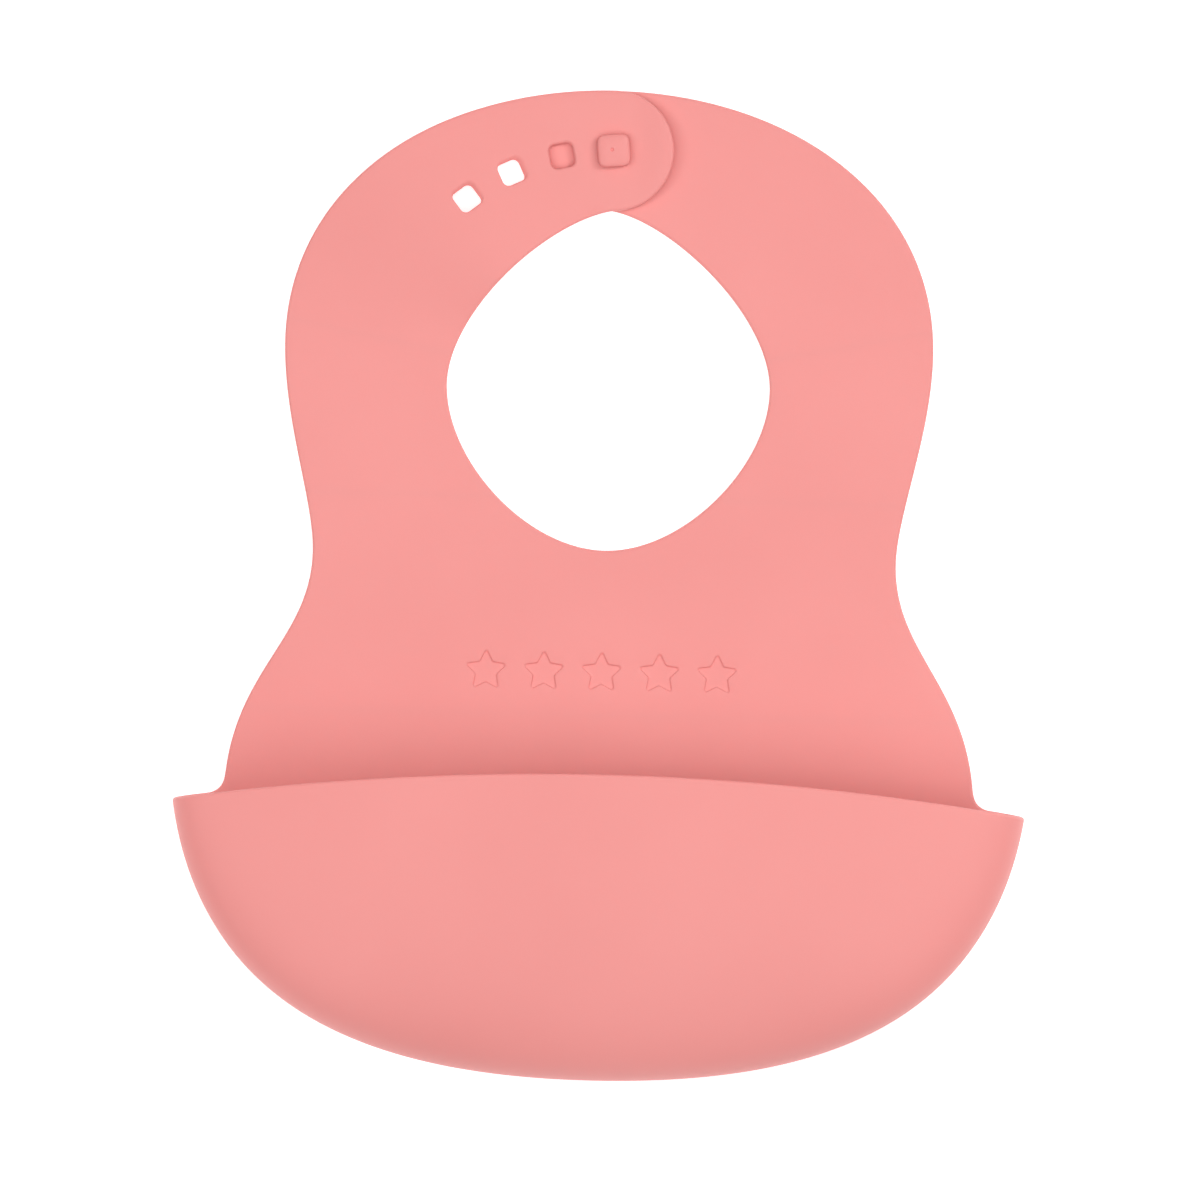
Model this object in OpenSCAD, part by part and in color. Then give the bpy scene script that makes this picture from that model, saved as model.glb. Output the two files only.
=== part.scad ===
// Silicone feeding bib: one soft moulding with a catch pocket and a buttoned neck strap.
// It is cut into its zones at the lines where it flexes, and each zone is a solid.
// Millimetres. +X to the wearer's left, +Y towards the collar, +Z out of the front face.
// The bib lies on its back on Z = 0, with the origin under the centre of its outline.

/* [Overall] */
// Width across the two corners of the pocket
bib_w = 235; // [200:1:282]
// Height from the pocket's bottom edge to the top of the collar
bib_h = 274; // [228:1:329]
// Thickness of the silicone sheet
sheet_t = 2; // [1.6:0.1:2.4]

/* [Body outline] */
// Width across the shoulders
shoulder_w = 179.6; // [158:0.2:216]
// Width at the waist, the narrowest place
waist_w = 161.6; // [134:0.2:176]
// How much narrower the panel is than the pocket, just above the pocket's corner
hip_step = 13; // [10:0.5:16]
// How far the shoulders bulge: 0 is a straight slope, 1 a square corner
shoulder_fullness = 0.62; // [0.5:0.01:0.74]

/* [Neck opening] */
// Width of the neck opening
neck_w = 89.4; // [74:0.2:108]
// Height of the neck opening
neck_h = 94; // [78:0.5:113]
// Width of the collar at the nape, where the two straps overlap
collar_back = 33.4; // [28:0.2:40.2]
// How far the opening's edge dips beside the nape, where the two straps meet at a point
nape_dip = 3; // [0:0.5:5]

/* [Pocket] */
// Depth of the pocket at the middle of its lip, from the surface that the bib lies on
pocket_depth = 32; // [26:0.5:39]
// Height of the middle of the lip above the bottom edge
pocket_h = 85; // [70:0.5:102]
// How much lower the corners of the lip are than its middle
lip_drop = 9.2; // [5:0.1:12]
// Height of the pocket's widest line above the surface
rim_z = 7; // [5:0.5:9]
// Squareness of the pocket's section at its sides
side_power = 4; // [3:0.1:5]
// Squareness of the pocket's section at its bottom
base_power = 2.7; // [2.3:0.1:3.4]
// Air around the swinging front wall
mouth_gap = 0.8; // [0.6:0.1:1.2]

/* [Closure] */
// Number of holes in the strap
hole_count = 4; // [2:1:4]
// Width of one square hole
hole_w = 6.6; // [5.5:0.1:8]
// Corner radius of a hole
hole_r = 1.6; // [1:0.1:2.2]
// Distance between holes, along the strap's centre line
hole_pitch = 14.4; // [12:0.1:17.4]
// How far the stud's head overhangs the hole on each side
head_lip = 1.2; // [0.8:0.1:1.6]
// Thickness of the stud's head
head_t = 2.6; // [2:0.1:3.4]
// Room between the stud's post and the hole on each side
post_clear = 0.9; // [0.5:0.1:1.2]
// How far the stud strap runs on past the stud
under_run = 4.6; // [2:0.1:6]
// Height of the bow in the buttoned strap
bow_h = 5.2; // [3:0.1:7]

/* [Emblem] */
// Distance between the stars that are pressed into the panel
star_pitch = 16; // [13:0.5:18]
// Number of stars
star_count = 5; // [1:2:7]
// Size of a star, tip to tip
star_w = 12.4; // [9:0.2:14]
// Depth of the stars
star_depth = 0.5; // [0.3:0.1:0.7]

/* [Flex lines] */
// Air between two zones that move against each other
flex_gap = 0.3; // [0.25:0.05:0.5]
// Height of the belly fold below the bottom of the neck opening
fold_below = 17; // [14:0.5:20]
// Angle of each strap's flex line from straight up, about the middle of the neck opening
strap_flex = 68; // [62:1:72]

/* [Hidden] */
silicone = [0.95, 0.60, 0.57];

// Heights above the bottom edge
top_y = bib_h;
neck_top = top_y - collar_back;
neck_bottom = neck_top - neck_h;
neck_y = neck_top - 0.52 * neck_h;
fold_y = neck_bottom - fold_below;
waist_y = neck_bottom - 2;
shoulder_y = neck_y + 11;
corner_y = pocket_h - lip_drop;
hip_y = pocket_h - 3;
emblem_y = pocket_h + 0.62 * (fold_y - pocket_h);
origin_y = bib_h / 2;

// Half widths
corner_x = (bib_w - sheet_t) / 2;
shoulder_x = shoulder_w / 2;
waist_x = waist_w / 2;
hip_x = corner_x - hip_step;
neck_x = neck_w / 2;

// Flex lines: one zone ends in a rounded edge, and the next in a square edge clear of it
mid_z = sheet_t / 2;
knuckle_r = sheet_t / 2 - 0.1;
square_edge = sheet_t / 2 + flex_gap;
reach = 2 * bib_h;

// Closure
strap_r = collar_back / 2;
hole_ring = top_y - strap_r - neck_y;
pitch_angle = hole_pitch / hole_ring * 180 / PI;
under_angle = under_run / hole_ring * 180 / PI;
under_inset = 0.6;
over_z = sheet_t + flex_gap;
head_z = over_z + sheet_t + flex_gap;
post_w = hole_w - 2 * post_clear;
head_w = hole_w + 2 * head_lip;
stud_turn = 5;

// The bow runs along the strap, turned this far from X: it starts at bow_start, crests at
// bow_crest and is down on the stud strap at bow_end, measured from the neck's middle
bow_turn = 40;
bow_start = -0.47 * neck_x;
bow_crest = 0;
bow_end = hole_ring * sin(bow_turn + under_angle) - strap_r - 1;
bow_steps = 8;

// Pocket wall: it leaves the panel at back_share of its full size, is widest at rim_z, and
// becomes the swinging front wall at front_level of the height above that
back_share = 0.955;
front_level = 0.82;
crest = pocket_depth - mid_z - rim_z;
turn_steps = 4;
wall_steps = 7;
heel_steps = 3;
heel_end = 1 + heel_steps / wall_steps;
front_steps = 10;
side_end = 0.5;
rim_step = 1 / 24;

// Curves

function bezier(a, b, c, d, t) =
    pow(1 - t, 3) * a + 3 * t * pow(1 - t, 2) * b + 3 * t * t * (1 - t) * c + pow(t, 3) * d;
function curve(a, b, c, d, steps) = [for (i = [0 : steps]) bezier(a, b, c, d, i / steps)];
function arc(centre, r, from, to, steps = 24) =
    [for (i = [0 : steps]) let (a = from + (to - from) * i / steps) centre + r * [cos(a), sin(a)]];
function mirrored(points) = [for (i = [len(points) - 1 : -1 : 0]) [-points[i].x, points[i].y]];
function smooth(t) = let (c = max(0, min(1, t))) c * c * (3 - 2 * c);
function unit(a) = a / norm(a);

// The lip's line in plan
function lip_y(x) = pocket_h - lip_drop * pow(x / corner_x, 2);

// Right half of the collar's outer edge, from its top to the shoulder
collar_edge = curve([0, top_y], [0.54 * shoulder_x, top_y],
                    [shoulder_x, shoulder_y + shoulder_fullness * (top_y - shoulder_y)],
                    [shoulder_x, shoulder_y], 24);

// Right side of the outline, from the top of the collar to the corner of the pocket
side_edge = concat(
    collar_edge,
    curve([shoulder_x, shoulder_y], [shoulder_x, shoulder_y - 0.38 * (shoulder_y - waist_y)],
          [waist_x, waist_y + 0.24 * (shoulder_y - waist_y)], [waist_x, waist_y], 14),
    curve([waist_x, waist_y], [waist_x, waist_y - 0.38 * (waist_y - hip_y)],
          [hip_x - 3, hip_y + 0.48 * (waist_y - hip_y)], [hip_x, hip_y + 1], 18),
    curve([hip_x, hip_y + 1], [hip_x + 0.4, lip_y(hip_x) + 1.5],
          [hip_x + 1.5, lip_y(hip_x) + 0.3], [hip_x + 4, lip_y(hip_x + 4)], 6));

// Right half of the neck opening, from its top to its widest place, and on to its bottom
nape_edge = curve([0, neck_top], [0.38 * neck_x, neck_top - nape_dip],
                  [neck_x, neck_y + 0.42 * (neck_top - neck_y)], [neck_x, neck_y], 20);
neck_edge = concat(
    nape_edge,
    curve([neck_x, neck_y], [neck_x, neck_y - 0.46 * (neck_y - neck_bottom)],
          [0.49 * neck_x, neck_bottom], [0, neck_bottom], 20));

// The pocket's widest line in plan: u is 0 at its right corner, 1 at the bottom, 2 at the left
function rim_half(u) = bezier([corner_x, corner_y], [0.936 * corner_x, 0.37 * corner_y],
                              [0.655 * corner_x, mid_z], [0, mid_z], u);
function rim(u) = u <= 1 ? rim_half(u) : let (p = rim_half(2 - u)) [-p.x, p.y];

// A point in plan at a share of the way from the lip's middle out to the widest line
function in_plan(u, share) =
    let (p = rim(u), x = share * p.x) [x, lip_y(x) + share * (p.y - lip_y(p.x))];

// Pocket section in the direction u: share out from the lip's middle, level above rim_z
function power(u) = side_power + (base_power - side_power) * smooth(u <= 1 ? u : 2 - u);
function level(u, share) = pow(1 - pow(share, power(u)), 1 / power(u));
function front_share(u) = pow(1 - pow(front_level, power(u)), 1 / power(u));
function gap_share(u) = mouth_gap / norm(rim(u) - [0, pocket_h]);

// Middle of the front wall: v is 0 at the lip's middle and 1 at the wall's border
function front_at(u, v) =
    let (share = v * (front_share(u) - gap_share(u)), p = in_plan(u, share))
    [p.x, p.y, rim_z + crest * level(u, share)];

// Middle of the side and bottom wall: v is 0 at the panel, 1 at the widest line, 2 at the front
function wall_at(u, v) = v <= 1
    ? let (share = back_share + (1 - back_share) * sin(90 * v), p = in_plan(u, share))
      [p.x, p.y, rim_z - (rim_z - mid_z) * cos(90 * v)]
    : let (turn = (v - 1) * acos(pow(front_share(u), power(u) / 2)),
           p = in_plan(u, pow(cos(turn), 2 / power(u))))
      [p.x, p.y, rim_z + crest * pow(sin(turn), 2 / power(u))];

// Outward directions, square to the two walls
function front_normal(u, v) =
    let (e = 0.01, w = max(v, e), u0 = max(0, u - e), u1 = min(2, u + e))
    v == 0 ? [0, 0, 1] : unit(cross(front_at(u0, w) - front_at(u1, w),
                                    front_at(u, w + e) - front_at(u, w - e)));
function wall_normal(u, v) =
    let (e = 0.01, u0 = max(0, u - e), u1 = min(2, u + e))
    v == 0 ? [0, 0, -1] : unit(cross(wall_at(u1, v) - wall_at(u0, v),
                                     wall_at(u, v + e) - wall_at(u, v - e)));

// Pieces in plan

module body_outline() {
    base = [for (u = [0 : rim_step : 2.001]) in_plan(min(u, 2), back_share)];
    polygon(concat(side_edge, base, mirrored(side_edge)));
}

module ring_outline() difference() {
    body_outline();
    polygon(concat(neck_edge, mirrored(neck_edge)));
}

module below(y) translate([-reach / 2, y - reach]) square(reach);
module above(y) translate([-reach / 2, y]) square(reach);
// side is 1 for the left half and -1 for the right half
module half(side) translate([side > 0 ? -reach : 0, 0]) square(reach);
module at_flex(side) translate([0, neck_y]) rotate(side * strap_flex) children();
module strap_part(side) at_flex(side)
    translate([side > 0 ? square_edge : -square_edge - reach, -reach / 2]) square(reach);
module shoulder_part(side) at_flex(side)
    translate([side > 0 ? -reach : 0, -reach / 2]) square(reach);

module rounded_square(w, r) {
    square([w - 2 * r, w], center = true);
    square([w, w - 2 * r], center = true);
    for (x = [-1, 1], y = [-1, 1]) translate([x, y] * (w / 2 - r)) circle(r, $fn = 32);
}

module at_hole(i) translate([0, neck_y]) rotate(i * pitch_angle) translate([0, hole_ring])
    children();

module hole_strap_outline() difference() {
    intersection() {
        polygon(concat(mirrored(collar_edge), arc([0, neck_y + hole_ring], strap_r, 90, -90),
                       [for (p = nape_edge) [-p.x, p.y]]));
        strap_part(1);
    }
    for (i = [0 : hole_count - 1]) at_hole(i) rounded_square(hole_w, hole_r);
}

// The covered end of the stud strap is a little narrower than the strap above it
module stud_strap_outline() intersection() {
    end = [0, neck_y] + hole_ring * [-sin(under_angle), cos(under_angle)];
    polygon(concat(arc(end, strap_r - under_inset, under_angle - 90, under_angle - 270),
                   collar_edge, [for (i = [len(nape_edge) - 1 : -1 : 0]) nape_edge[i]]));
    strap_part(-1);
}

module star(w) polygon([for (i = [0 : 9]) (i % 2 == 0 ? w / 2 : 0.5 * w / 2)
                        * [sin(36 * i), cos(36 * i)]]);

// Solids

// A zone of the sheet, with the outline given above the bottom edge
module sheet() translate([0, -origin_y]) linear_extrude(sheet_t) children();

// Rounded edges across the sheet, at the height y or on a strap's flex line
module fold_knuckle(y) intersection() {
    translate([0, y - origin_y, mid_z]) rotate([0, 90, 0])
        cylinder(reach, r = knuckle_r, center = true, $fn = 32);
    sheet() ring_outline();
}
module strap_knuckle(side) intersection() {
    translate([0, neck_y - origin_y, mid_z]) rotate(side * strap_flex) rotate([-90, 0, 0])
        cylinder(reach, r = knuckle_r, $fn = 32);
    sheet() ring_outline();
}

// A closed wall between two grids of points, each [row][column]
module shell(outer, inner) {
    rows = len(outer);
    columns = len(outer[0]);
    half_count = rows * columns;
    function at(side, r, c) = side * half_count + r * columns + c;
    faces = concat(
        [for (r = [rows - 2 : -1 : 0]) each [
            [at(0, r, columns - 1), at(0, r + 1, columns - 1), at(1, r + 1, columns - 1)],
            [at(0, r, columns - 1), at(1, r + 1, columns - 1), at(1, r, columns - 1)],
            [at(0, r, 0), at(1, r + 1, 0), at(0, r + 1, 0)],
            [at(0, r, 0), at(1, r, 0), at(1, r + 1, 0)]]],
        [for (c = [0 : columns - 2]) each [
            [at(0, 0, c), at(1, 0, c + 1), at(1, 0, c)],
            [at(0, 0, c), at(0, 0, c + 1), at(1, 0, c + 1)],
            [at(0, rows - 1, c), at(1, rows - 1, c), at(1, rows - 1, c + 1)],
            [at(0, rows - 1, c), at(1, rows - 1, c + 1), at(0, rows - 1, c + 1)]]],
        [for (r = [0 : rows - 2], c = [0 : columns - 2]) each [
            [at(0, r, c), at(0, r + 1, c + 1), at(0, r, c + 1)],
            [at(0, r, c), at(0, r + 1, c), at(0, r + 1, c + 1)],
            [at(1, r, c), at(1, r, c + 1), at(1, r + 1, c + 1)],
            [at(1, r, c), at(1, r + 1, c + 1), at(1, r + 1, c)]]]);
    polyhedron(concat([for (row = outer) each row], [for (row = inner) each row]), faces);
}

// Side or bottom wall of the pocket, between two places on its widest line and two levels
module pocket_wall(from, to, low = 0, high = 2) {
    rows = [for (v = concat([for (i = [0 : turn_steps]) i / turn_steps],
                            [for (i = [1 : wall_steps]) 1 + i / wall_steps]))
            if (v > low - 0.01 && v < high + 0.01) v];
    places = [for (u = [from : rim_step : to + rim_step / 2]) min(u, to)];
    function grid(lift) = [for (v = rows) [for (u = places)
        wall_at(u, v) + lift * wall_normal(u, v) - [0, origin_y, 0]]];
    shell(grid(mid_z), grid(-mid_z));
}

// Sub-parts

module lower_panel() color(silicone) difference() {
    union() {
        sheet() intersection() { body_outline(); below(fold_y); }
        fold_knuckle(fold_y);
    }
    for (i = [0 : star_count - 1])
        translate([(i - (star_count - 1) / 2) * star_pitch, emblem_y - origin_y,
                   sheet_t - star_depth])
            linear_extrude(1) star(star_w);
}

// The bottom wall is in two: its heel rises from the panel, and the rest turns over to the front
module pocket_heel() color(silicone) pocket_wall(side_end, 2 - side_end, high = heel_end);
module pocket_bottom() color(silicone) pocket_wall(side_end, 2 - side_end, low = heel_end);
module pocket_side_right() color(silicone) pocket_wall(0, side_end);
module pocket_side_left() color(silicone) pocket_wall(2 - side_end, 2);

module pocket_front() {
    places = [for (u = [0 : rim_step : 2.001]) min(u, 2)];
    columns = len(places);
    function ring(v, lift) = [for (u = places)
        front_at(u, v) + lift * front_normal(u, v) - [0, origin_y, 0]];
    outer = [for (i = [1 : front_steps]) each ring(i / front_steps, mid_z)];
    inner = [for (i = [1 : front_steps]) each ring(i / front_steps, -mid_z)];
    middle = front_at(0, 0) - [0, origin_y, 0];
    half_count = 1 + front_steps * columns;
    function at(side, r, c) = side * half_count + (r == 0 ? 0 : 1 + (r - 1) * columns + c);
    last = columns - 1;
    faces = concat(
        [for (r = [front_steps - 1 : -1 : 0]) each [
            [at(0, r, last), at(1, r + 1, last), at(0, r + 1, last)],
            [at(0, r, last), at(1, r, last), at(1, r + 1, last)],
            [at(0, r, 0), at(0, r + 1, 0), at(1, r + 1, 0)],
            [at(0, r, 0), at(1, r + 1, 0), at(1, r, 0)]]],
        [for (c = [0 : last - 1]) each [
            [at(0, front_steps, c), at(0, front_steps, c + 1), at(1, front_steps, c + 1)],
            [at(0, front_steps, c), at(1, front_steps, c + 1), at(1, front_steps, c)]]],
        [for (r = [1 : front_steps - 1], c = [0 : last - 1]) each [
            [at(0, r, c), at(0, r, c + 1), at(0, r + 1, c + 1)],
            [at(0, r, c), at(0, r + 1, c + 1), at(0, r + 1, c)],
            [at(1, r, c), at(1, r + 1, c + 1), at(1, r, c + 1)],
            [at(1, r, c), at(1, r + 1, c), at(1, r + 1, c + 1)]]],
        [for (c = [0 : last - 1]) each [
            [at(0, 0, 0), at(0, 1, c + 1), at(0, 1, c)],
            [at(1, 0, 0), at(1, 1, c), at(1, 1, c + 1)]]]);
    color(silicone)
        polyhedron(concat([middle + [0, 0, mid_z]], outer, [middle - [0, 0, mid_z]], inner), faces);
}

module chest_panel() color(silicone) {
    sheet() intersection() { ring_outline(); above(fold_y + square_edge); below(neck_y); }
    fold_knuckle(neck_y);
}

module shoulder(side) color(silicone) {
    sheet() intersection() {
        ring_outline();
        above(neck_y + square_edge);
        half(side);
        shoulder_part(side);
    }
    strap_knuckle(side);
}

module hole_strap() {
    function bow(s) = s < bow_crest
        ? bow_h * smooth((s - bow_start) / (bow_crest - bow_start))
        : bow_h - (bow_h - over_z) * smooth((s - bow_crest) / (bow_end - bow_crest));
    places = concat([-reach / 2],
        [for (i = [0 : bow_steps]) bow_start + (bow_crest - bow_start) * i / bow_steps],
        [for (i = [1 : bow_steps]) bow_crest + (bow_end - bow_crest) * i / bow_steps],
        [reach / 2]);
    color(silicone) intersection() {
        translate([0, -origin_y]) linear_extrude(2 * bow_h + sheet_t) hole_strap_outline();
        translate([0, neck_y - origin_y]) rotate(bow_turn) rotate([90, 0, 0])
            linear_extrude(reach, center = true)
            polygon(concat([for (s = places) [s, bow(s)]],
                           [for (i = [len(places) - 1 : -1 : 0])
                            [places[i], bow(places[i]) + sheet_t]]));
    }
}

module stud_strap() color(silicone) sheet() stud_strap_outline();

module at_stud(z) translate([0, -origin_y, z]) at_hole(0) rotate(stud_turn) children();

module stud_post() color(silicone)
    at_stud(sheet_t) linear_extrude(head_z - sheet_t) rounded_square(post_w, hole_r / 2);

module stud_head() color(silicone) {
    edge = head_t / 4;
    at_stud(head_z) linear_extrude(head_t - edge) rounded_square(head_w, hole_r + head_lip);
    at_stud(head_z + head_t - edge) linear_extrude(edge)
        rounded_square(head_w - 2 * edge, hole_r + head_lip - edge);
}

lower_panel();
pocket_heel();
pocket_bottom();
pocket_side_right();
pocket_side_left();
pocket_front();
chest_panel();
shoulder(-1);  // shoulder_right
shoulder(1);  // shoulder_left
hole_strap();
stud_strap();
stud_post();
stud_head();
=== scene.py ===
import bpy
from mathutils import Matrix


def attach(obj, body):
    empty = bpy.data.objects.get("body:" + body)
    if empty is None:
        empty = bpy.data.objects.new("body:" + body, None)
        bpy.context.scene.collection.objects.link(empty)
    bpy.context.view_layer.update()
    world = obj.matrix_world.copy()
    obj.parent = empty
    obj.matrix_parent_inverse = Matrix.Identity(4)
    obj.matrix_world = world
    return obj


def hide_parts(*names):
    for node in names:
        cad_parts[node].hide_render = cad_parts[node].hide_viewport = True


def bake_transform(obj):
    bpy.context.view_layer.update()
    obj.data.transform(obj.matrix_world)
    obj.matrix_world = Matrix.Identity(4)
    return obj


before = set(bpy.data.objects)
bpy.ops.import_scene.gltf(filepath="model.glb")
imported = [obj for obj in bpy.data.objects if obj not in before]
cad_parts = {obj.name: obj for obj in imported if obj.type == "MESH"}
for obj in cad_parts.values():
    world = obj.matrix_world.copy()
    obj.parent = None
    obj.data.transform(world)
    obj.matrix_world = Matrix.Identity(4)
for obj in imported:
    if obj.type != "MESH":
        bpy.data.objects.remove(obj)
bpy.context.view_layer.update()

import math

import bpy
import numpy as np
from mathutils import Vector
from mathutils.geometry import delaunay_2d_cdt

# The bib's sizes as the CAD part has them, in millimetres, with y above the pocket's bottom edge.
# fullness is how far the shoulders bulge, and strapFlex the turn of the straps' flex lines
bib = dict(width=235, height=274, sheet=2, shoulderWidth=179.6, waistWidth=161.6, hipStep=13,
           fullness=0.62, neckWidth=89.4, neckHeight=94, collarBack=33.4, napeDip=3,
           pocketHeight=85, lipDrop=9.2, foldBelow=17, strapFlex=68)
halfSheet = bib["sheet"] / 2
originY = bib["height"] / 2
cornerX = bib["width"] / 2 - halfSheet
shoulderX = bib["shoulderWidth"] / 2
waistX = bib["waistWidth"] / 2
hipX = cornerX - bib["hipStep"]
hipY = bib["pocketHeight"] - 3
neckX = bib["neckWidth"] / 2
neckTop = bib["height"] - bib["collarBack"]
neckBottom = neckTop - bib["neckHeight"]
neckY = neckTop - 0.52 * bib["neckHeight"]
shoulderY = neckY + 11
waistY = neckBottom - 2
foldY = neckBottom - bib["foldBelow"]
strapR = bib["collarBack"] / 2
holeRing = bib["height"] - strapR - neckY

# Lines where one skin ends and the next begins, all away from the bends: two heights, the
# straps' turn in degrees, and how far apart the points of a skin are
seam = dict(belowStars=101, acrossNeck=161, strapAngle=79, spacing=2.5)


def smooth(t):
    t = np.clip(t, 0, 1)
    return t * t * (3 - 2 * t)


def bezier(a, b, c, d, steps=80):
    t = np.linspace(0, 1, steps + 1)[:, None]
    a, b, c, d = (np.array(p, float) for p in (a, b, c, d))
    return (1 - t) ** 3 * a + 3 * t * (1 - t) ** 2 * b + 3 * t * t * (1 - t) * c + t ** 3 * d


def arc(centre, radius, start, end, steps=60):
    angle = np.radians(np.linspace(start, end, steps + 1))
    return np.array(centre) + radius * np.stack([np.cos(angle), np.sin(angle)], axis=1)


def turned(points, degrees):
    c, s = math.cos(math.radians(degrees)), math.sin(math.radians(degrees))
    return points @ np.array([[c, s], [-s, c]])


def lipY(x):
    return bib["pocketHeight"] - bib["lipDrop"] * (x / cornerX) ** 2


# Edges run with the silicone on their left, and hold x, y and the direction away from it

def edge(*curves, step=0.9):
    points = np.vstack(curves)
    apart = np.r_[True, np.linalg.norm(np.diff(points, axis=0), axis=1) > 1e-6]
    points = points[apart]
    length = np.r_[0, np.cumsum(np.linalg.norm(np.diff(points, axis=0), axis=1))]
    at = np.linspace(0, length[-1], max(2, round(length[-1] / step)) + 1)
    points = np.stack([np.interp(at, length, points[:, k]) for k in (0, 1)], axis=1)
    along = np.gradient(points, axis=0)
    along /= np.linalg.norm(along, axis=1)[:, None]
    return np.hstack([points, along[:, 1:], -along[:, :1]])


def mirrored(run):
    return run[::-1] * [-1, 1, -1, 1]


def splitAt(run, side):
    # Two edges that meet where side changes sign, with no point too close to the cut
    value = side(run[:, 0], run[:, 1])
    i = np.nonzero(value[:-1] * value[1:] <= 0)[0][0]
    cut = run[i] + (run[i + 1] - run[i]) * value[i] / (value[i] - value[i + 1])
    room = 0.3
    before = run[:i + 1][np.linalg.norm(run[:i + 1, :2] - cut[:2], axis=1) > room]
    after = run[i + 1:][np.linalg.norm(run[i + 1:, :2] - cut[:2], axis=1) > room]
    return np.vstack([before, cut]), np.vstack([cut, after])


def beyondStrapSeam(x, y):
    # Above zero where a point is past the seam between a shoulder and its strap
    angle = math.radians(seam["strapAngle"])
    return (y - neckY) * math.sin(angle) - abs(x) * math.cos(angle)


# Outline of the sheet. The shares below are how full each curve is between its ends

collarCurve = bezier([0, bib["height"]], [0.54 * shoulderX, bib["height"]],
                     [shoulderX, shoulderY + bib["fullness"] * (bib["height"] - shoulderY)],
                     [shoulderX, shoulderY])
sideCurves = [
    collarCurve,
    bezier([shoulderX, shoulderY], [shoulderX, shoulderY - 0.38 * (shoulderY - waistY)],
           [waistX, waistY + 0.24 * (shoulderY - waistY)], [waistX, waistY]),
    bezier([waistX, waistY], [waistX, waistY - 0.38 * (waistY - hipY)],
           [hipX - 3, hipY + 0.48 * (waistY - hipY)], [hipX, hipY + 1]),
    bezier([hipX, hipY + 1], [hipX + 0.4, lipY(hipX) + 1.5],
           [hipX + 1.5, lipY(hipX) + 0.3], [hipX + 4, lipY(hipX + 4)])]
napeCurve = bezier([0, neckTop], [0.38 * neckX, neckTop - bib["napeDip"]],
                   [neckX, neckY + 0.42 * (neckTop - neckY)], [neckX, neckY])
neckCurve = bezier([neckX, neckY], [neckX, neckY - 0.46 * (neckY - neckBottom)],
                   [0.49 * neckX, neckBottom], [0, neckBottom])
sideUp = edge(*sideCurves)[::-1] * [1, 1, -1, -1]  # right side, from the pocket to the nape
neckDown = edge(napeCurve, neckCurve)  # right side of the opening, downwards

# The rounded edge of the sheet: height from its middle, and how far out, row by row
rim = dict(radius=0.85, steps=4)
rimTurn = np.radians(np.linspace(90, 0, rim["steps"] + 1))
rimUp = halfSheet - rim["radius"] + rim["radius"] * np.sin(rimTurn)
rimOut = rim["radius"] * np.cos(rimTurn)
rimRows = list(zip(np.r_[rimUp, -rimUp[::-1]], np.r_[rimOut, rimOut[::-1]]))[1:-1]


def border(*edges, closed=True):
    # The gap between one edge and the next is a straight cut, where the rim isn't rounded
    points, outward = [], []
    for k, run in enumerate(edges):
        after = edges[(k + 1) % len(edges)]
        before = edges[k - 1]
        away = run[:, 2:].copy()
        for end, other in ((0, before[-1]), (-1, after[0])):
            if not closed and (k, end) in ((0, 0), (len(edges) - 1, -1)):
                continue
            gap = run[end, :2] - other[:2]
            if np.linalg.norm(gap) > 0.01:
                gap /= np.linalg.norm(gap)
                away[end] = gap / (gap @ run[end, 2:])
            else:
                away[end] = (run[end, 2:] + other[2:]) / (1 + run[end, 2:] @ other[2:])
        inset = run[:, :2] - rim["radius"] * away
        points.append(inset)
        outward.append(away)
    for k in range(len(edges) - (1 if closed else 2), -1, -1):
        start, end = points[k][-1], points[(k + 1) % len(edges)][0]
        length = np.linalg.norm(end - start)
        if length > 0.01:
            t = np.linspace(0, 1, max(2, round(length / seam["spacing"])) + 1)[1:-1, None]
            points.insert(k + 1, start + (end - start) * t)
            outward.insert(k + 1, np.zeros((len(t), 2)))
        elif len(edges) > 1 or length < 1e-6:
            points[k], outward[k] = points[k][:-1], outward[k][:-1]
    return np.vstack(points), np.vstack(outward), (0, 0)


def within(points, loops):
    # True for a point inside an odd number of the loops
    odd = np.zeros(len(points), bool)
    x, y = points[:, :1], points[:, 1:2]
    for loop in loops:
        a, b = loop, np.roll(loop, -1, axis=0)
        crosses = (a[:, 1] > y) != (b[:, 1] > y)
        with np.errstate(divide="ignore", invalid="ignore"):
            at = a[:, 0] + (y - a[:, 1]) * (b[:, 0] - a[:, 0]) / (b[:, 1] - a[:, 1])
        odd ^= (np.sum(crosses & (x < at), axis=1) % 2).astype(bool)
    return odd


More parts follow.
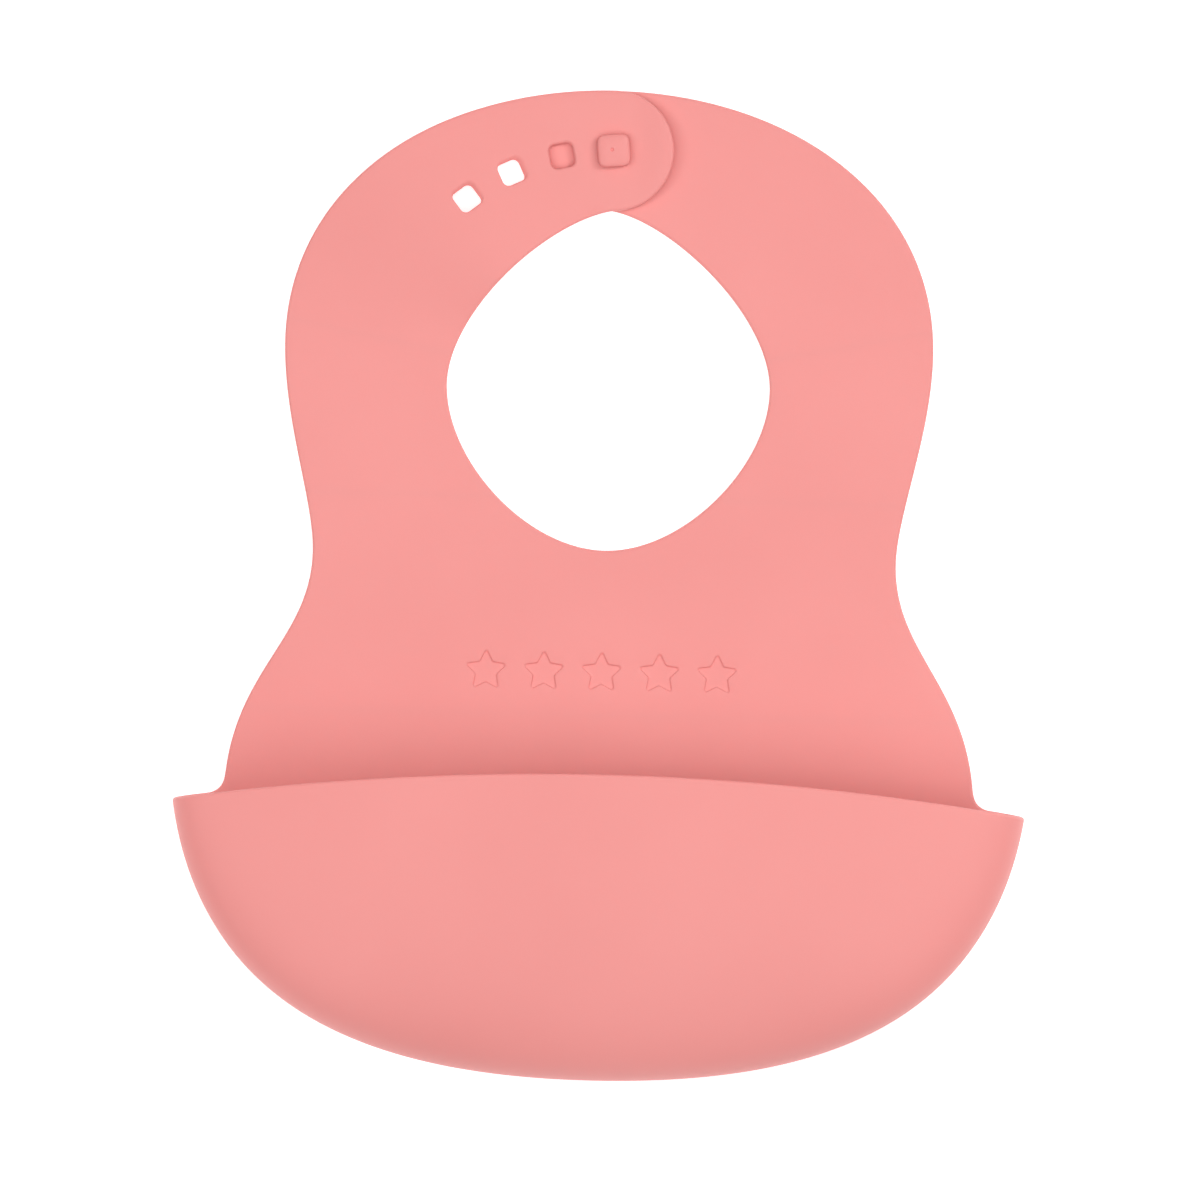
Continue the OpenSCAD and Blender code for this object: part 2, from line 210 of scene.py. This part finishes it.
def fill(loops, spacing):
    # Faces between closed loops, on the loops' points and a staggered grid inside them
    rings = np.vstack(loops)
    low, high = rings.min(0), rings.max(0)
    grid = [(x + (row % 2) * spacing / 2, y)
            for row, y in enumerate(np.arange(low[1], high[1], spacing * 0.87))
            for x in np.arange(low[0], high[0], spacing)]
    grid = np.array(grid)
    grid = grid[within(grid, loops)]
    if len(grid):
        nearest = np.min(np.linalg.norm(grid[:, None] - rings[None], axis=2), axis=1)
        grid = grid[nearest > 0.6 * spacing]
    points = np.vstack([rings, grid])
    edges, first = [], 0
    for loop in loops:
        n = len(loop)
        edges += [(first + i, first + (i + 1) % n) for i in range(n)]
        first += n
    made = delaunay_2d_cdt([Vector(p) for p in points], edges, [], 0, 1e-7, True)
    source = [ids[0] for ids in made[3]]
    faces = np.array([[source[i] for i in f] for f in made[2]])
    a, b, c = (points[faces[:, k]] for k in range(3))
    area = (b[:, 0] - a[:, 0]) * (c[:, 1] - a[:, 1]) - (b[:, 1] - a[:, 1]) * (c[:, 0] - a[:, 0])
    faces[area < 0] = faces[area < 0][:, ::-1]
    keep = within((a + b + c) / 3, loops) & (np.abs(area) > 1e-9)
    return points, [tuple(f) for f in faces[keep].tolist()]


def strip(upper, lower, closed=True):
    # Faces between two rows, seen from outside with the silicone's edge running to the right
    n = len(upper)
    return [(upper[i], lower[i], lower[(i + 1) % n], upper[(i + 1) % n])
            for i in range(n if closed else n - 1)]


def build(name, points, faces, material, sharpest=38):
    # From millimetres above the pocket's bottom edge to the frame's metres
    placed = (np.array(points, float) - [0, originY, 0]) / 1000
    mesh = bpy.data.meshes.new(name)
    mesh.from_pydata(placed.tolist(), [], faces)
    mesh.validate()
    mesh.shade_smooth()
    mesh.set_sharp_from_angle(angle=math.radians(sharpest))
    mesh.materials.append(material)
    piece = bpy.data.objects.new(name, mesh)
    bpy.context.scene.collection.objects.link(piece)
    print("made", name, len(mesh.vertices), "vertices")
    return piece


def linear(colour):
    channels = [int(colour[i:i + 2], 16) / 255 for i in (1, 3, 5)]
    return [c / 12.92 if c <= 0.04045 else ((c + 0.055) / 1.055) ** 2.4 for c in channels] + [1]


def node(tree, kind, links=(), **settings):
    made = tree.nodes.new(kind)
    for key, value in settings.items():
        if hasattr(made, key):
            setattr(made, key, value)
        else:
            made.inputs[key.replace("_", " ")].default_value = value
    for output, socket in links:
        tree.links.new(output, made.inputs[socket])
    return made


# Silicone rubber moulded in a blasted tool. It looks soft pink and matt, with a silky sheen at
# a low angle, and a little light goes into it. Its IOR is 1.41. blotch, grain and ripple are
# millimetres from one patch to the next, and the depths are millimetres. The grain of such a
# tool is about 0.1 mm, drawn as coarse as it needs to show
silicone = dict(colour="#E78E8A", pale="#F19995", roughness=0.52, blotch=70, grain=0.55,
                ripple=9, grainDepth=0.018, rippleDepth=0.05, scatter=0.08)


def mouldedSilicone():
    made = bpy.data.materials.new("mouldedSiliconeRubber")
    made.use_nodes = True
    tree = made.node_tree
    tree.nodes.clear()
    spot = node(tree, "ShaderNodeTexCoord").outputs["Object"]
    blotch = node(tree, "ShaderNodeTexNoise", [(spot, "Vector")],
                  Scale=1000 / silicone["blotch"], Detail=2.0, Roughness=0.45)
    tint = node(tree, "ShaderNodeMix", [(blotch.outputs["Fac"], "Factor")], data_type="RGBA")
    tint.inputs[6].default_value = linear(silicone["colour"])
    tint.inputs[7].default_value = linear(silicone["pale"])
    grain = node(tree, "ShaderNodeTexNoise", [(spot, "Vector")],
                 Scale=1000 / silicone["grain"], Detail=3.0, Roughness=0.6)
    ripple = node(tree, "ShaderNodeTexNoise", [(spot, "Vector")],
                  Scale=1000 / silicone["ripple"], Detail=1.0, Roughness=0.4)
    rough = node(tree, "ShaderNodeMapRange", [(grain.outputs["Fac"], "Value")])
    rough.inputs["To Min"].default_value = silicone["roughness"] - 0.05
    rough.inputs["To Max"].default_value = silicone["roughness"] + 0.07
    wavy = node(tree, "ShaderNodeBump", [(ripple.outputs["Fac"], "Height")],
                Strength=0.35, Distance=silicone["rippleDepth"] / 1000)
    matt = node(tree, "ShaderNodeBump",
                [(grain.outputs["Fac"], "Height"), (wavy.outputs["Normal"], "Normal")],
                Strength=0.6, Distance=silicone["grainDepth"] / 1000)
    skin = node(tree, "ShaderNodeBsdfPrincipled",
                [(tint.outputs[2], "Base Color"), (rough.outputs["Result"], "Roughness"),
                 (matt.outputs["Normal"], "Normal")],
                IOR=1.41, Subsurface_Weight=silicone["scatter"], Subsurface_Scale=0.002)
    skin.inputs["Subsurface Radius"].default_value = (1.0, 0.45, 0.4)
    node(tree, "ShaderNodeOutputMaterial", [(skin.outputs["BSDF"], "Surface")])
    return made


rubber = mouldedSilicone()
print("silicone ready")

# The panel isn't quite flat: it lifts a little here and there between the pocket and the straps.
# across and up set the swells' length, shiftX and shiftY their place, and the rest is heights
wave = dict(lift=1.3, across=27, up=21, shiftX=1.2, shiftY=0.7,
            start=92, full=125, fade=162, end=198)


def panelMiddle(points):
    x, y = points[:, 0], points[:, 1]
    shown = smooth((y - wave["start"]) / (wave["full"] - wave["start"]))
    shown *= 1 - smooth((y - wave["fade"]) / (wave["end"] - wave["fade"]))
    swell = 0.5 + 0.5 * (np.sin(x / wave["across"] + wave["shiftX"])
                         * np.sin(y / wave["up"] + wave["shiftY"]))
    return halfSheet + wave["lift"] * shown * swell


def sheetPiece(name, loops, middle, marks=()):
    # A skin of the flat sheet. Each loop is its points, the way out from each, and how far the
    # loop leans between the face and the back. Marks are pressed into the face
    rings = [points for points, outward, lean in loops]
    lowPoints, lowFaces = fill([points + lean for points, outward, lean in loops],
                               seam["spacing"])
    topPoints, topFaces = fill(rings + [mark[0][0] for mark in marks], seam["spacing"])
    if marks:
        topPoints, topFaces = pressed(topPoints, topFaces, sum(map(len, rings)), marks)
    else:
        topPoints = np.hstack([topPoints, np.zeros((len(topPoints), 1))])
    top = np.hstack([topPoints[:, :2],
                     (middle(topPoints[:, :2]) + halfSheet + topPoints[:, 2])[:, None]])
    low = np.hstack([lowPoints, (middle(lowPoints) - halfSheet)[:, None]])
    points = [top, low]
    faces = topFaces + [tuple(len(top) + i for i in f[::-1]) for f in lowFaces]
    count, first = len(top) + len(low), 0
    for ring, outward, lean in loops:
        n = len(ring)
        above = list(range(first, first + n))
        for up, out in rimRows:
            base = ring + np.array(lean) * (halfSheet - up) / bib["sheet"]
            points.append(np.hstack([base + outward * out, (middle(base) + up)[:, None]]))
            row = list(range(count, count + n))
            faces += strip(above, row)
            above, count = row, count + n
        faces += strip(above, list(range(len(top) + first, len(top) + first + n)))
        first += n
    return build(name, np.vstack(points), faces, rubber)


def pressed(points, faces, skip, marks):
    # Walls and floors of the marks: each mark is its rings from the face inwards, with depths
    points = np.hstack([points, np.zeros((len(points), 1))])
    added, count = [points], len(points)
    for rings in marks:
        above = list(range(skip, skip + len(rings[0][0])))
        skip += len(above)
        for ring, depth in rings[1:]:
            added.append(np.hstack([ring, np.full((len(ring), 1), -depth)]))
            row = list(range(count, count + len(ring)))
            faces += strip(above[::-1], row[::-1])
            above, count = row, count + len(ring)
        inner, floor = fill([rings[-1][0]], 2.0)
        extra = inner[len(above):]
        added.append(np.hstack([extra, np.full((len(extra), 1), -rings[-1][1])]))
        index = above + list(range(count, count + len(extra)))
        faces += [tuple(index[i] for i in f) for f in floor]
        count += len(extra)
    return np.vstack(added), faces


def rounded(corners, radius, step=0.35):
    # A closed outline with every corner turned into an arc
    corners = np.array(corners, float)
    made = []
    for k, corner in enumerate(corners):
        into = corner - corners[k - 1]
        out = corners[(k + 1) % len(corners)] - corner
        into, out = into / np.linalg.norm(into), out / np.linalg.norm(out)
        turn = math.atan2(into[0] * out[1] - into[1] * out[0], into @ out)
        back = abs(math.tan(turn / 2)) * radius
        side = math.copysign(1, turn)
        centre = corner - into * back + side * radius * np.array([-into[1], into[0]])
        first = math.atan2(*(corner - into * back - centre)[::-1])
        angles = first + turn * np.linspace(0, 1, 7)
        made.append(centre + radius * np.stack([np.cos(angles), np.sin(angles)], axis=1))
    made = np.vstack(made + [made[0][:1]])
    length = np.r_[0, np.cumsum(np.linalg.norm(np.diff(made, axis=0), axis=1))]
    at = np.linspace(0, length[-1], round(length[-1] / step) + 1)[:-1]
    return np.stack([np.interp(at, length, made[:, k]) for k in (0, 1)], axis=1)


# Belly: from just under the stars to the sides of the neck opening. height is the stars' share
# of the way from the pocket to the fold, and tip the radius of their points. Each star goes in
# by rows: how far inside its outline, and how deep as a share of its depth
stars = dict(count=5, pitch=16, size=12.4, height=0.62, depth=0.5, tip=0.55,
             rows=[(-0.3, 0), (-0.1, 0.12), (0, 0.4), (0.08, 0.76), (0.2, 0.94), (0.36, 1)])


def starMark(x, y):
    # Every second corner of the star is half as far out
    tips = [(stars["size"] / 2 if i % 2 == 0 else stars["size"] / 4)
            * np.array([-math.sin(math.radians(36 * i)), math.cos(math.radians(36 * i))])
            for i in range(10)]
    along = (tips[1] - tips[0]) / np.linalg.norm(tips[1] - tips[0])
    inner = abs(along[0] * tips[0][1] - along[1] * tips[0][0])
    shape = rounded(tips, stars["tip"])
    return [(shape * (inner - inset) / inner + [x, y], share * stars["depth"])
            for inset, share in stars["rows"]]


starY = bib["pocketHeight"] + stars["height"] * (foldY - bib["pocketHeight"])
starMarks = [starMark((i - (stars["count"] - 1) / 2) * stars["pitch"], starY)
             for i in range(stars["count"])]
lowSide, midSide = splitAt(sideUp, lambda x, y: y - seam["belowStars"])
midSide, highSide = splitAt(midSide, lambda x, y: y - seam["acrossNeck"])
highSide, strapSide = splitAt(highSide, beyondStrapSeam)
strapNeck, highNeck = splitAt(neckDown, beyondStrapSeam)
highNeck, lowNeck = splitAt(highNeck, lambda x, y: y - seam["acrossNeck"])
neckFloor = np.vstack([lowNeck, mirrored(lowNeck)[1:]])
belly = sheetPiece("bellyPanel", [border(midSide, neckFloor, mirrored(midSide))],
                   panelMiddle, starMarks)
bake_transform(belly)
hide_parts("lower_panel", "chest_panel")

# Chest and shoulders, left and right of the neck opening

for side, word in ((1, "Right"), (-1, "Left")):
    runs = (highSide, highNeck) if side == 1 else (mirrored(highNeck), mirrored(highSide))
    shoulder = sheetPiece("chest" + word, [border(*runs)], panelMiddle)
    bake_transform(shoulder)
    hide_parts("shoulder_" + word.lower())

# Straps. They bend on a line through the middle of the neck opening. lean is how far each
# hole's back edge lies from its front one, across and up, where the strap is bent
holes = dict(count=4, width=6.6, corner=1.6, pitch=14.4,
             lean=[(0, 0), (-0.2, -0.4), (-0.9, -1.2), (-0.4, -1.3)])
# The strap with holes bows up from the turn at start to the turn at its crest, height high, and
# comes down to over, its height above the strap that it lies on. underRun is how far that strap
# goes past the stud. The tip curls up beyond curlFrom
bow = dict(turn=40, start=76, height=5.2, over=2.3, underRun=4.6, curl=1.7, curlFrom=5)
underAngle = bow["underRun"] / holeRing * 180 / math.pi
bow["end"] = holeRing * math.sin(math.radians(bow["turn"] + underAngle)) - strapR - 1


def bowLift(points):
    # Rises from the flex line to its crest, then comes down onto the other strap
    x, y = points[:, 0], points[:, 1] - neckY
    angle = np.degrees(np.arctan2(-x, y))
    turn = math.radians(bow["turn"])
    past = (x * math.cos(turn) + y * math.sin(turn)) / bow["end"]
    rise = bow["height"] * smooth((bow["start"] - angle) / (bow["start"] - bow["turn"]))
    fall = bow["height"] - (bow["height"] - bow["over"]) * smooth(past)
    curl = bow["curl"] * smooth((x - bow["curlFrom"]) / (strapR - bow["curlFrom"]))
    return halfSheet + np.where(past < 0, rise, fall) + curl


def holeRun(i):
    half = holes["width"] / 2
    square = [(-half, -half), (half, -half), (half, half), (-half, half)]
    shape = rounded(square, holes["corner"])[::-1] + [0, holeRing]
    angle = i * holes["pitch"] / holeRing * 180 / math.pi
    shape = turned(shape, angle) + [0, neckY]
    along = np.roll(shape, -1, axis=0) - np.roll(shape, 1, axis=0)
    along /= np.linalg.norm(along, axis=1)[:, None]
    away = np.stack([along[:, 1], -along[:, 0]], axis=1)
    return shape - rim["radius"] * away, away, holes["lean"][i]


tip = arc([0, neckY + holeRing], strapR, -90, 90)
topRun = edge(mirrored(strapNeck)[:, :2], tip, mirrored(strapSide)[:, :2])
holeStrap = sheetPiece("strapWithHoles",
                       [border(topRun)] + [holeRun(i) for i in range(holes["count"])], bowLift)
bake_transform(holeStrap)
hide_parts("hole_strap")

under = math.radians(underAngle)
underEnd = np.array([0, neckY]) + holeRing * np.array([-math.sin(under), math.cos(under)])
underTip = arc(underEnd, strapR - 0.6, 90 + underAngle, 270 + underAngle)
lowRun = edge(strapSide[:, :2], underTip, strapNeck[:, :2])
studStrap = sheetPiece("strapWithStud", [border(lowRun)],
                       lambda points: np.full(len(points), halfSheet))
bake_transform(studStrap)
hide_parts("stud_strap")

# Stud: a short post with a pillowed square head, and the dimple where it left its runner.
# turn is degrees; post and half are half widths; foot, neck, shoulder and top are heights; the
# rim round the dimple is its height, radius and width
stud = dict(turn=5, post=2.4, flare=0.5, foot=1.9, neck=4.8, half=4.5, shoulder=6.55, top=7.2,
            squareness=4.6, doming=4, dimple=(-0.4, 0.25), dimpleR=0.4, dimpleDepth=0.45,
            dimpleRim=(0.04, 0.75, 0.2), sides=88, crownRings=30)


def squareRing(half, squareness):
    angle = np.linspace(0, 2 * math.pi, stud["sides"], endpoint=False)
    c, s = np.cos(angle), np.sin(angle)
    reach = half / (np.abs(c) ** squareness + np.abs(s) ** squareness) ** (1 / squareness)
    return np.stack([reach * c, reach * s], axis=1)


def studPiece():
    post, half, neck, shoulder = (stud[k] for k in ("post", "half", "neck", "shoulder"))
    profile = [(post + stud["flare"] * (1 - t) ** 2, stud["foot"] + t) for t in (0, 0.3, 0.6, 1)]
    profile += [(post, neck - 0.2), (post + 0.08, neck - 0.06), (post + 0.3, neck)]
    profile += [(half - 0.4, neck), (half - 0.12, neck + 0.1), (half, neck + 0.4)]
    profile += [(half, shoulder - 0.7), (half - 0.08, shoulder - 0.3)]
    crownR = half - 0.3
    crown = [crownR * (1 - i / stud["crownRings"]) for i in range(stud["crownRings"])]
    rings = [np.hstack([squareRing(r, stud["squareness"]), np.full((stud["sides"], 1), z)])
             for r, z in profile]
    for r in crown:
        squareness = 2 + (stud["squareness"] - 2) * (r / crownR)
        flat = squareRing(r, squareness)
        rings.append(np.hstack([flat, np.full((stud["sides"], 1), r)]))
    rings.append(np.array([[0, 0, 0.0]]))
    rimHeight, rimR, rimWidth = stud["dimpleRim"]
    for ring in rings[len(profile):]:  # until here, z holds how far out the crown's points are
        share = ring[:, 2] / crownR
        z = stud["top"] - (stud["top"] - shoulder) * share ** stud["doming"]
        away = np.linalg.norm(ring[:, :2] - stud["dimple"], axis=1)
        z -= stud["dimpleDepth"] * np.exp(-(away / stud["dimpleR"]) ** 4)
        z += rimHeight * np.exp(-((away - rimR) / rimWidth) ** 2)
        ring[:, 2] = z
    points = np.vstack(rings)
    points[:, :2] = turned(points[:, :2], stud["turn"]) + [0, neckY + holeRing]
    n, faces = stud["sides"], []
    for k in range(len(rings) - 2):
        upper = list(range((k + 1) * n, (k + 2) * n))
        faces += strip(upper, list(range(k * n, (k + 1) * n)))
    centre = len(points) - 1
    last = centre - n
    faces += [(last + i, last + (i + 1) % n, centre) for i in range(n)]
    faces.append(tuple(range(n))[::-1])
    return build("stud", points, faces, rubber, sharpest=60)


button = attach(studPiece(), "stud_strap")
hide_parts("stud_post", "stud_head")

# Pocket: the panel below the stars turns up into the wall and folds over into the front. rim is
# the height of its widest line, the powers are the squareness of its section at the sides and
# at the bottom, back is where its wall leaves the panel, as a share of the way out, and dense
# draws its rows together where the section is round
pocket = dict(columns=200, rows=96, rim=7, depth=32, sidePower=6.5, basePower=2.8, back=0.955,
              dense=1.6)


def section(u, length):
    # Middle of the wall from the panel round to the lip's middle: share of the way out, height
    half = u if u <= 1 else 2 - u
    power = pocket["sidePower"] + (pocket["basePower"] - pocket["sidePower"]) * smooth(half)
    t = np.linspace(0, math.pi / 2, 60)
    lower = pocket["back"] + (1 - pocket["back"]) * np.sin(t)
    rise = pocket["rim"] - (pocket["rim"] - halfSheet) * np.cos(t)
    t = np.linspace(0, 1, 900)[1:] ** 2 * math.pi / 2
    over = np.abs(np.cos(t)) ** (2 / power)
    over[-1] = 0
    crest = pocket["depth"] - halfSheet - pocket["rim"]
    share = np.r_[lower, over]
    z = np.r_[rise, pocket["rim"] + crest * np.sin(t) ** (2 / power)]
    step = np.hypot(np.diff(share) * length, np.diff(z))
    step *= 1 + pocket["dense"] * smooth((share[1:] - 0.6) / 0.2)
    travel = np.r_[0, np.cumsum(step)]
    at = np.linspace(0, travel[-1], pocket["rows"] + 1)
    return np.interp(at, travel, share), np.interp(at, travel, z)


cornerY = lipY(cornerX)


def pocketGrid():
    half = bezier([cornerX, cornerY], [0.936 * cornerX, 0.37 * cornerY],
                  [0.655 * cornerX, halfSheet], [0, halfSheet], pocket["columns"] // 2)
    rimLine = np.vstack([half, half[-2::-1] * [-1, 1]])
    grid = np.zeros((pocket["rows"] + 1, pocket["columns"] + 1, 3))
    for j, (x, y) in enumerate(rimLine):
        u = 2 * j / pocket["columns"]
        share, z = section(u, math.hypot(x, bib["pocketHeight"] - y))
        held = smooth(min(u, 2 - u) / 0.3)
        grid[:, j, 0] = share * x
        grid[:, j, 1] = (lipY(share * x) + share * (y - lipY(x))
                         - rim["radius"] * (1 - share * held))
        grid[:, j, 2] = z
    return grid


grid = pocketGrid()
up = np.cross(np.gradient(grid, axis=1), np.gradient(grid, axis=0))
up[-1] = [0, 0, -1]
up /= np.linalg.norm(up, axis=2)[:, :, None]
up[0] = [0, 0, 1]
lipX = np.linspace(pocket["back"] * cornerX, hipX + 4, 8)
lipRun = np.stack([lipX, lipY(lipX)], axis=1)
sideRun = edge(lipRun, lowSide[:, :2])
sideRun[-1] = lowSide[-1]
panelEdge, panelAway, _ = border(sideRun, mirrored(sideRun), closed=False)
panelEdge[0], panelEdge[-1] = grid[0, 0, :2], grid[0, -1, :2]
count, rows, columns = len(panelEdge), pocket["rows"], pocket["columns"]
flat, panelFaces = fill([np.vstack([panelEdge, grid[0, -2:0:-1, :2]])], seam["spacing"])
middle = [np.hstack([flat, panelMiddle(flat)[:, None]]),
          grid[1:-1].reshape(-1, 3), grid[-1, :1]]
normals = [np.tile([0, 0, 1.0], (len(flat), 1)), up[1:-1].reshape(-1, 3), up[-1, :1]]
middle, normals = np.vstack(middle), np.vstack(normals)
pole = len(middle) - 1


def gridIndex(k, j):
    if k == 0:
        return 0 if j == 0 else count - 1 + columns - j
    return pole if k == rows else len(flat) + (k - 1) * (columns + 1) + j


faces = list(panelFaces)
for k in range(rows):
    for j in range(columns):
        quad = [gridIndex(k, j), gridIndex(k, j + 1), gridIndex(k + 1, j + 1), gridIndex(k + 1, j)]
        faces.append(tuple(dict.fromkeys(quad)))
mouth = [gridIndex(k, columns) for k in range(1, rows)] + [pole]
mouth += [gridIndex(k, 0) for k in range(rows - 1, 0, -1)]
lean = 2 * bib["lipDrop"] * middle[mouth, 0] / cornerX ** 2
mouthAway = np.stack([lean, np.ones(len(lean)), np.zeros(len(lean))], axis=1)
mouthAway /= np.linalg.norm(mouthAway, axis=1)[:, None]
ring = list(range(count)) + mouth
away = np.vstack([np.hstack([panelAway, np.zeros((count, 1))]), mouthAway])
total = len(middle)
points = [middle + normals * halfSheet, middle - normals * halfSheet]
faces += [tuple(total + i for i in f[::-1]) for f in faces]
above, first = ring, 2 * total
for rise, out in rimRows:
    points.append(middle[ring] + normals[ring] * rise + away * out)
    row = list(range(first, first + len(ring)))
    faces += strip(above, row)
    above, first = row, first + len(ring)
faces += strip(above, [total + i for i in ring])
catchPocket = build("catchPocket", np.vstack(points), faces, rubber)
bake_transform(catchPocket)
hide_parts("pocket_heel", "pocket_bottom",
            "pocket_side_right", "pocket_side_left", "pocket_front")

# Studio, in metres: a pale floor that glows a little, even light all round, and the camera's
# distance, the width that it sees and its roll in degrees
studio = dict(distance=3.5, width=0.3325, centre=(-0.0009, -0.0041), roll=1.35,
              floor="#F4F4F4", floorHalf=8, floorDrop=0.0003, glow=0.55, world=0.2)
# Each light's watts, its side and where it stands: above, beyond the stud and at the other side
softboxes = [(32, 2.6, (0.04, -0.12, 1.8)),
             (5, 0.35, (0.85, 0.5, 0.9)),
             (2.6, 0.35, (-0.9, 0, 0.95))]


def paleFloor():
    made = bpy.data.materials.new("paintedFloor")
    made.use_nodes = True
    skin = made.node_tree.nodes["Principled BSDF"]
    skin.inputs["Base Color"].default_value = linear(studio["floor"])
    skin.inputs["Roughness"].default_value = 0.9
    skin.inputs["Emission Color"].default_value = (1, 1, 1, 1)
    skin.inputs["Emission Strength"].default_value = studio["glow"]
    return made


half, drop = studio["floorHalf"], studio["floorDrop"]
mesh = bpy.data.meshes.new("floor")
mesh.from_pydata([(-half, -half, -drop), (half, -half, -drop), (half, half, -drop),
                  (-half, half, -drop)], [], [(0, 1, 2, 3)])
mesh.materials.append(paleFloor())
floor = bpy.data.objects.new("floor", mesh)
bpy.context.scene.collection.objects.link(floor)

world = bpy.data.worlds.new("studio")
bpy.context.scene.world = world
world.use_nodes = True
world.node_tree.nodes["Background"].inputs["Color"].default_value = (1, 1, 1, 1)
world.node_tree.nodes["Background"].inputs["Strength"].default_value = studio["world"]

for watts, side, at in softboxes:
    lamp = bpy.data.lights.new("softbox", "AREA")
    lamp.shape, lamp.size, lamp.energy = "SQUARE", side, watts
    softbox = bpy.data.objects.new("softbox", lamp)
    softbox.location = at
    softbox.rotation_euler = (-Vector(at)).to_track_quat("-Z", "Y").to_euler()
    bpy.context.scene.collection.objects.link(softbox)

lens = bpy.data.cameras.new("camera")
lens.lens = lens.sensor_width * studio["distance"] / studio["width"]
camera = bpy.data.objects.new("camera", lens)
camera.location = (*studio["centre"], studio["distance"])
camera.rotation_euler = (0, 0, math.radians(studio["roll"]))
bpy.context.scene.collection.objects.link(camera)
bpy.context.scene.camera = camera
bpy.context.scene.view_settings.view_transform = "Standard"
